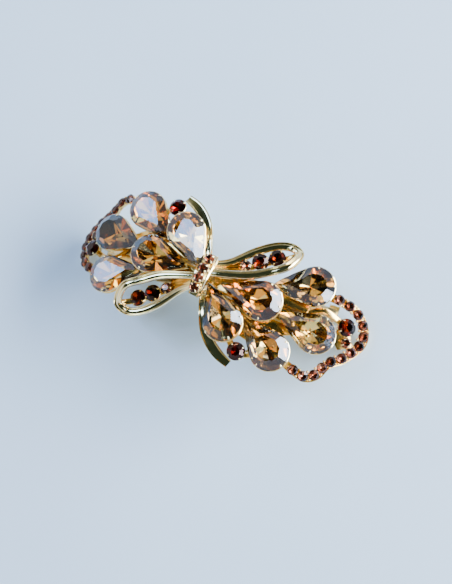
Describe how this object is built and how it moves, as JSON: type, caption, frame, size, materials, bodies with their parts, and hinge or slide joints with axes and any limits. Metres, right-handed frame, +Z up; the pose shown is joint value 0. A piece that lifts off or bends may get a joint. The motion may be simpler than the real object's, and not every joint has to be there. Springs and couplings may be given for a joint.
{
  "type": "rhinestone hair clip",
  "caption": "Bow-shaped hair clip set with pear and round glass stones in gilt castings, on an arched spring barrette with a hinged clasp arm, tension bar and pinch latch.",
  "frame": {"origin": "centre of the bounding box's underside: the closed clip rests on the feet of its clasp arm at z = 0", "axes": "+X along the clip from the hinge to the latch, +Y across it, +Z up through the stones' faces"},
  "size_m": [0.0818, 0.038, 0.0218],
  "materials": {
    "pale_gold": "mirror-polished pale gold plating on a zinc casting",
    "plated_steel": "gold-plated spring steel, satin",
    "champagne_glass": "faceted champagne glass, foiled behind",
    "garnet_glass": "faceted deep red glass, foiled behind",
    "dark_topaz_glass": "faceted very dark brown-red glass, foiled behind",
    "mocha_glass": "faceted light brown glass, foiled behind"
  },
  "bodies": {
    "decoration": {"base_bar": "plated_steel", "bow_casting": "pale_gold", "chain_stone_left_01": "mocha_glass", "chain_stone_left_02": "mocha_glass", "chain_stone_left_03": "mocha_glass", "chain_stone_left_04": "mocha_glass", "chain_stone_left_05": "mocha_glass", "chain_stone_left_06": "mocha_glass", "chain_stone_left_07": "mocha_glass", "chain_stone_left_08": "mocha_glass", "chain_stone_left_09": "mocha_glass", "chain_stone_left_10": "mocha_glass", "chain_stone_left_11": "mocha_glass", "chain_stone_left_12": "mocha_glass", "chain_stone_left_13": "mocha_glass", "chain_stone_right_01": "mocha_glass", "chain_stone_right_02": "mocha_glass", "chain_stone_right_03": "mocha_glass", "chain_stone_right_04": "mocha_glass", "chain_stone_right_05": "mocha_glass", "chain_stone_right_06": "mocha_glass", "chain_stone_right_07": "mocha_glass", "chain_stone_right_08": "mocha_glass", "chain_stone_right_09": "mocha_glass", "chain_stone_right_10": "mocha_glass", "chain_stone_right_11": "mocha_glass", "chain_stone_right_12": "mocha_glass", "chain_stone_right_13": "mocha_glass", "dark_red_stone_left": "dark_topaz_glass", "dark_red_stone_right": "dark_topaz_glass", "hinge_pin": "plated_steel", "knot_stone_left_1": "mocha_glass", "knot_stone_left_2": "mocha_glass", "knot_stone_right_1": "mocha_glass", "knot_stone_right_2": "mocha_glass", "loop_stone_left_1": "mocha_glass", "loop_stone_left_2": "dark_topaz_glass", "loop_stone_left_3": "dark_topaz_glass", "loop_stone_right_1": "mocha_glass", "loop_stone_right_2": "dark_topaz_glass", "loop_stone_right_3": "dark_topaz_glass", "pear_stone_left_1": "champagne_glass", "pear_stone_left_2": "champagne_glass", "pear_stone_left_3": "champagne_glass", "pear_stone_left_4": "champagne_glass", "pear_stone_left_5": "champagne_glass", "pear_stone_right_1": "champagne_glass", "pear_stone_right_2": "champagne_glass", "pear_stone_right_3": "champagne_glass", "pear_stone_right_4": "champagne_glass", "pear_stone_right_5": "champagne_glass", "red_stone_left": "garnet_glass", "red_stone_right": "garnet_glass", "wing_casting": "pale_gold", "wing_small_stone_left": "mocha_glass", "wing_small_stone_right": "mocha_glass"},
    "clasp_arm": {"clasp_arm": "plated_steel"},
    "tension_bar": {"tension_bar": "plated_steel"},
    "pinch_tab_front": {"pinch_tab_front": "plated_steel"},
    "pinch_tab_back": {"pinch_tab_back": "plated_steel"}
  },
  "joints": [
    {"name": "clasp_hinge", "type": "hinge", "parent": "decoration", "child": "clasp_arm", "pos_m": [-0.0315, 0, 0.0026], "axis": [0, 1, 0], "range_deg": [0, 80]},
    {"name": "tension_hinge", "type": "hinge", "parent": "decoration", "child": "tension_bar", "pos_m": [-0.0315, 0, 0.0026], "axis": [0, 1, 0], "range_deg": [0, 12]},
    {"name": "pinch_tab_front_flex", "type": "hinge", "parent": "decoration", "child": "pinch_tab_front", "pos_m": [0.0304, -0.00125, 0.0043], "axis": [1, 0, 0], "range_deg": [0, 6], "stiffness_Nm_per_rad": 0.01},
    {"name": "pinch_tab_back_flex", "type": "hinge", "parent": "decoration", "child": "pinch_tab_back", "pos_m": [0.0304, 0.00125, 0.0043], "axis": [-1, 0, 0], "range_deg": [0, 6], "stiffness_Nm_per_rad": 0.01}
  ],
  "couplings": [
    {"joint": "tension_hinge", "follows": "clasp_hinge", "ratio": 0.14}
  ]
}
